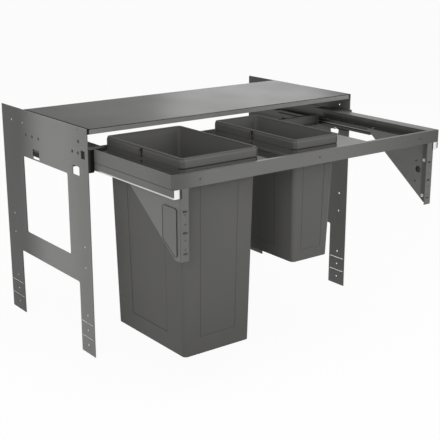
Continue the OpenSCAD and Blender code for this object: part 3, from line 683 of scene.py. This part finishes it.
# Drawer runners: channels that hang under the side rails, bright outside, with painted shade towards the
# balls and a painted highlight on the lip's edge.
# A bright end piece plugs each channel in front, and three bolts are driven from above.
BRIGHT_ZINC = (0.78, 0.78, 0.76, 1.0)
WALL_ZINC = (0.62, 0.62, 0.60, 1.0)
WALL_FROM = 0.414
RUNNER_INSIDE_PAINTED_SHADE = 0.13
LIP_FACE = 0.4035
LIP_EDGE_START = 0.4955
LIP_EDGE_END = 0.4980
LIP_EDGE_PAINTED_LIGHT = 4.0
BOLT_RECESS = 0.0012
bright_zinc = plated("bright_zinc", BRIGHT_ZINC, roughness=0.45, spangle=0.1)
wall_zinc = plated("wall_zinc", WALL_ZINC, roughness=0.36, spangle=0.25)
# Painted shade on the inner faces; a painted highlight along the lip's lower edge.
tone(wall_zinc, RUNNER_INSIDE_PAINTED_SHADE, in_band(wall_zinc, WIDTH, -WALL_FROM, WALL_FROM))
lip_edge = in_band(wall_zinc, HEIGHT, LIP_EDGE_START, LIP_EDGE_END)
tone(wall_zinc, LIP_EDGE_PAINTED_LIGHT, lip_edge, in_band(wall_zinc, WIDTH, -LIP_FACE, LIP_FACE))
finish_nodes(wall_zinc, "left_drawer_runner", "right_drawer_runner")
finish_nodes(bright_zinc, "left_runner_end", "right_runner_end")
finish_nodes(plain_steel, "runner_bolts")


def top_head(box):
    """Point on a bolt's head, seen from above."""
    low, high = box
    return ((low.x + high.x) / 2, (low.y + high.y) / 2, high.z + RECESS_PROUD - RECESS_DEPTH / 2)


drive_recesses(
    "runner_bolt_recesses", [top_head(b) for b in single_pieces("runner_bolts")],
    BOLT_RECESS, UPRIGHT, "pull_out",
)

# Rails, bars and carrier plate: folded sheet welded into one flat frame with bin cut-outs.
# Their coat has the panels' dry grain; painted shade darkens it at the front corners.
# Painted shade also darkens the rails' seam and the inside of their lower fold.
FRAME_GREY = (0.125, 0.125, 0.119, 1.0)
SEAM_START = 0.5043
SEAM_END = 0.5062
SEAM_PAINTED_SHADE = 0.35
FOLD_START = 0.5068
FOLD_END = 0.5190
FOLD_FADE = 0.003
FOLD_PAINTED_SHADE = 0.35
BAR_LEFT = -0.370
BAR_LEFT_FADE = 0.05
BAR_LEFT_PAINTED_SHADE = 0.50
BAR_RIGHT = 0.300
BAR_RIGHT_FADE = 0.30
BAR_RIGHT_PAINTED_SHADE = 0.25
RAIL_FRONT = -0.340
RAIL_FRONT_FADE = 0.06
RAIL_FRONT_PAINTED_SHADE = 0.78
frame_coat = sheet_coat("frame_coat", FRAME_GREY)
finish_nodes(frame_coat, "rear_bar", "carrier_plate")
bar_coat = sheet_coat("bar_coat", FRAME_GREY)
# Painted shade towards both ends of the front bar.
tone(bar_coat, BAR_LEFT_PAINTED_SHADE, in_band(bar_coat, WIDTH, -FAR_END, BAR_LEFT, BAR_LEFT_FADE))
tone(bar_coat, BAR_RIGHT_PAINTED_SHADE, in_band(bar_coat, WIDTH, BAR_RIGHT, FAR_END, BAR_RIGHT_FADE))
finish_nodes(bar_coat, "front_bar")
rail_coat = sheet_coat("rail_coat", FRAME_GREY)
# Painted shade at the rails' front ends, in their seam and inside their lower fold.
tone(rail_coat, RAIL_FRONT_PAINTED_SHADE, in_band(rail_coat, DEPTH, -FAR_END, RAIL_FRONT, RAIL_FRONT_FADE))
rail_outside = facing(rail_coat, MIDDLE, WIDTH)
rail_inside = facing(rail_coat, MIDDLE, INWARDS)
tone(rail_coat, SEAM_PAINTED_SHADE, in_band(rail_coat, HEIGHT, SEAM_START, SEAM_END), rail_outside)
tone(rail_coat, FOLD_PAINTED_SHADE, in_band(rail_coat, HEIGHT, FOLD_START, FOLD_END, FOLD_FADE), rail_inside)
finish_nodes(rail_coat, "left_rail", "right_rail")

# Gussets: bent plates riveted under the runners before coating; slots in them carry the front panel.
# A grey plastic cover closes each access hole; painted shade darkens it behind and along its rear and lower
# edges.
# Zinc cam screws set the front panel.
COVER_CAP_GREY = (0.134, 0.134, 0.130, 1.0)
CAP_BACK = 0.4042
CAP_BACK_PAINTED_SHADE = 0.30
CAP_EDGE = 0.0036
CAP_EDGE_FADE = 0.0005
CAP_EDGE_PAINTED_SHADE = 0.18
CAP_FOOT = 0.6100
CAP_FOOT_AXIS = (0.0, -0.685, 1.0)
GUSSET_GREY = (0.155, 0.155, 0.148, 1.0)
GUSSET_FRONT = -0.4022
FLANGE_BACK = -0.4015
FLANGE_PAINTED_SHADE = 0.75
GUSSET_BEND = -0.3990
GUSSET_BEND_PAINTED_SHADE = 0.45
GAP_HEIGHT = (0.4840, 0.5060)
GAP_FROM = 0.3970
GAP_PAINTED_SHADE = 0.10
INNER_BEND = (-0.4010, -0.3690)
INNER_BEND_FADE = 0.004
INNER_BEND_PAINTED_SHADE = 0.5
grey_cap = grained(
    "grey_cap", COVER_CAP_GREY, roughness=0.5, scale=MOULD_GRAIN_SCALE, height=MOULD_GRAIN_HEIGHT,
    shade_change=0.05,
)
# Painted shade on the cap's back, seen through the access hole, and along its rear and lower edges.
tone(grey_cap, CAP_BACK_PAINTED_SHADE, in_band(grey_cap, WIDTH, -CAP_BACK, CAP_BACK))
cap_outside = facing(grey_cap, MIDDLE, WIDTH)
cap_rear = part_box("left_gusset_cap")[1][1]
for cap_axis, cap_edge in ((DEPTH, cap_rear - CAP_EDGE), (CAP_FOOT_AXIS, CAP_FOOT)):
    cap_line = in_band(grey_cap, cap_axis, cap_edge, cap_edge + CAP_EDGE, CAP_EDGE_FADE)
    tone(grey_cap, CAP_EDGE_PAINTED_SHADE, cap_line, cap_outside)
# The gussets' grey is a lighter copy of the sheet coat, painted light; painted shade darkens the bend, the
# flange's front, the gaps under the runner ends and the inner bend.
gusset_coat = sheet_coat("gusset_coat", GUSSET_GREY)
gusset_outside = facing(gusset_coat, MIDDLE, WIDTH)
gusset_bend = in_band(gusset_coat, DEPTH, GUSSET_FRONT, GUSSET_BEND)
tone(gusset_coat, GUSSET_BEND_PAINTED_SHADE, gusset_bend, gusset_outside)
gap_height = in_band(gusset_coat, HEIGHT, *GAP_HEIGHT)
flange_front = in_band(gusset_coat, DEPTH, GUSSET_FRONT, FLANGE_BACK)
tone(gusset_coat, FLANGE_PAINTED_SHADE, flange_front)
for gap in ((-FAR_END, -GAP_FROM), (GAP_FROM, FAR_END)):
    tone(gusset_coat, GAP_PAINTED_SHADE, in_band(gusset_coat, WIDTH, *gap), gap_height, flange_front)
inner_bend = in_band(gusset_coat, DEPTH, *INNER_BEND, INNER_BEND_FADE)
tone(gusset_coat, INNER_BEND_PAINTED_SHADE, inner_bend, facing(gusset_coat, MIDDLE, INWARDS))
finish_nodes(gusset_coat, "left_gusset", "right_gusset", "gusset_rivets")
finish_nodes(grey_cap, "left_gusset_cap", "right_gusset_cap")
finish_nodes(bright_zinc, "front_adjusters")

# Bins: tapered buckets of grey plastic that hang in the plate by a turned-down collar.
# They are injection moulded with a fine matt grain; painted shade darkens them towards the foot, on the
# collar's sides and on the rim.
# Painted shade darkens the collar's groove, the sockets and one upright edge of each panel pressed into the
# walls.
BIN_GREY = (0.106, 0.105, 0.099, 1.0)
BIN_SHEEN = 0.20
BIN_FOOT = 0.150
BIN_FOOT_FADE = 0.30
BIN_FOOT_PAINTED_SHADE = 0.6
GROOVE_START = 0.5406
GROOVE_END = 0.5445
GROOVE_PAINTED_SHADE = 0.3
SOCKET_HEIGHT = 0.5515
RING_INNER = 0.0075
RING_OUTER = 0.0103
SOCKET_PAINTED_SHADE = 0.35
RIM_START = 0.5620
RIM_END = 0.5700
RIM_PAINTED_SHADE = 0.9
COLLAR_START = 0.5300
COLLAR_SIDE_PAINTED_SHADE = 0.7
BIN_TAPER = 0.009
PRESSED_SHARE = 0.5
PRESSED_DROP = 0.91
PRESSED_TOP = 0.5175
EDGE_SHADOW_WIDTH = 0.0022
EDGE_SHADOW_FADE = 0.0006
EDGE_SHADOW_END_SHADE = 0.60
EDGE_SHADOW_SIDE_SHADE = 0.30


def dull(finish, mask):
    """Takes the gloss off a finish where the mask is one."""
    nodes = finish.node_tree.nodes
    links = finish.node_tree.links
    gloss = nodes["Principled BSDF"].inputs["Roughness"]
    rougher = nodes.new("ShaderNodeMath")
    rougher.operation = "MAXIMUM"
    links.new(gloss.links[0].from_socket, rougher.inputs[0])
    links.new(mask, rougher.inputs[1])
    links.new(rougher.outputs["Value"], gloss)


for bin_name in ("large_bin", "small_bin"):
    low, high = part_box(bin_name)
    bin_middle = ((low[0] + high[0]) / 2, (low[1] + high[1]) / 2, 0.0)
    bin_height = high[2] - low[2]
    bin_plastic = grained(
        bin_name + "_plastic", BIN_GREY, roughness=0.48, scale=700.0, height=0.00008,
        shade_change=0.08, sheen=BIN_SHEEN,
    )
    # Painted shade towards the foot.
    tone(bin_plastic, BIN_FOOT_PAINTED_SHADE, in_band(bin_plastic, HEIGHT, -FAR_END, BIN_FOOT, BIN_FOOT_FADE))
    bin_ends = facing(bin_plastic, bin_middle, DEPTH)
    bin_sides = facing(bin_plastic, bin_middle, WIDTH)
    # Painted shade on the collar's sides.
    tone(bin_plastic, COLLAR_SIDE_PAINTED_SHADE, in_band(bin_plastic, HEIGHT, COLLAR_START, FAR_END), bin_sides)
    socket_centre = (0.0, bin_middle[1], SOCKET_HEIGHT)
    # Painted shade in the collar's groove and in the sockets' rings.
    tone(bin_plastic, GROOVE_PAINTED_SHADE, in_band(bin_plastic, HEIGHT, GROOVE_START, GROOVE_END), bin_ends)
    tone(bin_plastic, SOCKET_PAINTED_SHADE, in_ring(bin_plastic, socket_centre, RING_INNER, RING_OUTER), bin_sides)
    rim = in_band(bin_plastic, HEIGHT, RIM_START, RIM_END)
    # Painted shade on the rim's top, which is also made dull.
    tone(bin_plastic, RIM_PAINTED_SHADE, rim)
    dull(bin_plastic, rim)
    pressed = in_band(bin_plastic, HEIGHT, high[2] - PRESSED_DROP * bin_height, PRESSED_TOP)
    lean = BIN_TAPER * PRESSED_SHARE / bin_height
    # Painted shadow along one upright edge of each pressed panel.
    for axis, wall, shade in ((0, bin_ends, EDGE_SHADOW_END_SHADE), (1, bin_sides, EDGE_SHADOW_SIDE_SHADE)):
        across = [0.0, 0.0, lean]
        across[axis] = 1.0
        half = PRESSED_SHARE * (high[axis] - low[axis]) / 2
        edge = bin_middle[axis] - half + lean * high[2]
        edge_shadow = in_band(bin_plastic, across, edge, edge + EDGE_SHADOW_WIDTH, EDGE_SHADOW_FADE)
        tone(bin_plastic, shade, edge_shadow, wall, pressed)
    finish_nodes(bin_plastic, bin_name)

# Floor and studio: a plain pale sweep, a broad light overhead and three soft lights around.
# The floor shows white to the camera and keeps a faint shadow of the object.
FLOOR_WHITE = (0.90, 0.90, 0.90, 1.0)
FLOOR_GLOW = 0.95
FLOOR_SIZE = 40.0
ROOM_WHITE = (1.0, 1.0, 1.0, 1.0)
ROOM_LIGHT = 0.325
SEEN_LIGHT = 1.0


def seen_directly(nodes, links):
    """One for rays that show the background: from the camera, in gloss or through glass."""
    path = nodes.new("ShaderNodeLightPath")
    either = nodes.new("ShaderNodeMath")
    either.operation = "MAXIMUM"
    links.new(path.outputs["Is Camera Ray"], either.inputs[0])
    links.new(path.outputs["Is Glossy Ray"], either.inputs[1])
    every = nodes.new("ShaderNodeMath")
    every.operation = "MAXIMUM"
    links.new(either.outputs["Value"], every.inputs[0])
    links.new(path.outputs["Is Transmission Ray"], every.inputs[1])
    return every


bpy.ops.mesh.primitive_plane_add(size=FLOOR_SIZE, location=(0.0, 0.0, 0.0))
floor = bpy.context.object
floor.name = "floor"
floor_paint = bpy.data.materials.new("floor_paint")
floor_paint.use_nodes = True
floor_nodes = floor_paint.node_tree.nodes
floor_links = floor_paint.node_tree.links
floor_nodes.remove(floor_nodes["Principled BSDF"])
matt = floor_nodes.new("ShaderNodeBsdfDiffuse")
matt.inputs["Color"].default_value = FLOOR_WHITE
glow = floor_nodes.new("ShaderNodeEmission")
share = floor_nodes.new("ShaderNodeMath")
share.operation = "MULTIPLY"
share.inputs[1].default_value = FLOOR_GLOW
seen = seen_directly(floor_nodes, floor_links)
floor_links.new(seen.outputs["Value"], share.inputs[0])
blend = floor_nodes.new("ShaderNodeMixShader")
floor_links.new(share.outputs["Value"], blend.inputs["Fac"])
floor_links.new(matt.outputs["BSDF"], blend.inputs[1])
floor_links.new(glow.outputs["Emission"], blend.inputs[2])
floor_links.new(blend.outputs["Shader"], floor_nodes["Material Output"].inputs["Surface"])
floor.data.materials.append(floor_paint)

world = bpy.data.worlds.new("studio")
bpy.context.scene.world = world
world.use_nodes = True
sky_nodes = world.node_tree.nodes
sky_links = world.node_tree.links
room = sky_nodes["Background"]
room.inputs["Color"].default_value = ROOM_WHITE
room_seen = seen_directly(sky_nodes, sky_links)
level = sky_nodes.new("ShaderNodeMapRange")
level.inputs["To Min"].default_value = ROOM_LIGHT
level.inputs["To Max"].default_value = SEEN_LIGHT
sky_links.new(room_seen.outputs["Value"], level.inputs["Value"])
sky_links.new(level.outputs["Result"], room.inputs["Strength"])


def soft_light(name, place, aim, size, power):
    """A broad square lamp that faces a point."""
    lamp = bpy.data.lights.new(name, "AREA")
    lamp.size = size
    lamp.energy = power
    holder = bpy.data.objects.new(name, lamp)
    bpy.context.scene.collection.objects.link(holder)
    holder.location = place
    holder.rotation_mode = "QUATERNION"
    holder.rotation_quaternion = (Vector(aim) - Vector(place)).to_track_quat("-Z", "Y")


soft_light("overhead", place=(-0.2, -0.8, 2.5), aim=(0.0, -0.2, 0.5), size=1.8, power=24.0)
soft_light("back_right", place=(2.1, 2.5, 1.3), aim=(0.1, 0.1, 0.5), size=1.0, power=7.0)
soft_light("front_left", place=(-2.6, -1.6, 1.6), aim=(0.0, 0.0, 0.3), size=1.6, power=30.0)
soft_light("front_right", place=(0.9, -3.2, 1.5), aim=(-0.1, 0.0, 0.3), size=1.6, power=26.0)

# Camera: at the photograph's angle, a little above the frame and to its left, looking down on it.
# A long lens keeps the far panel nearly as large as the near one.
CAMERA_PLACE = Vector((-1.557, -2.070, 1.038))
CAMERA_AZIMUTH = math.radians(-37.10)
CAMERA_TILT = math.radians(16.49)
LENS = 80.4
SENSOR = 36.0
camera_data = bpy.data.cameras.new("camera")
camera_data.lens = LENS
camera_data.sensor_width = SENSOR
camera = bpy.data.objects.new("camera", camera_data)
bpy.context.scene.collection.objects.link(camera)
ahead = Vector((
    -math.sin(CAMERA_AZIMUTH) * math.cos(CAMERA_TILT),
    math.cos(CAMERA_AZIMUTH) * math.cos(CAMERA_TILT),
    -math.sin(CAMERA_TILT),
))
camera.location = CAMERA_PLACE
camera.rotation_mode = "QUATERNION"
camera.rotation_quaternion = ahead.to_track_quat("-Z", "Y")
bpy.context.scene.camera = camera
bpy.context.scene.view_settings.view_transform = "Standard"
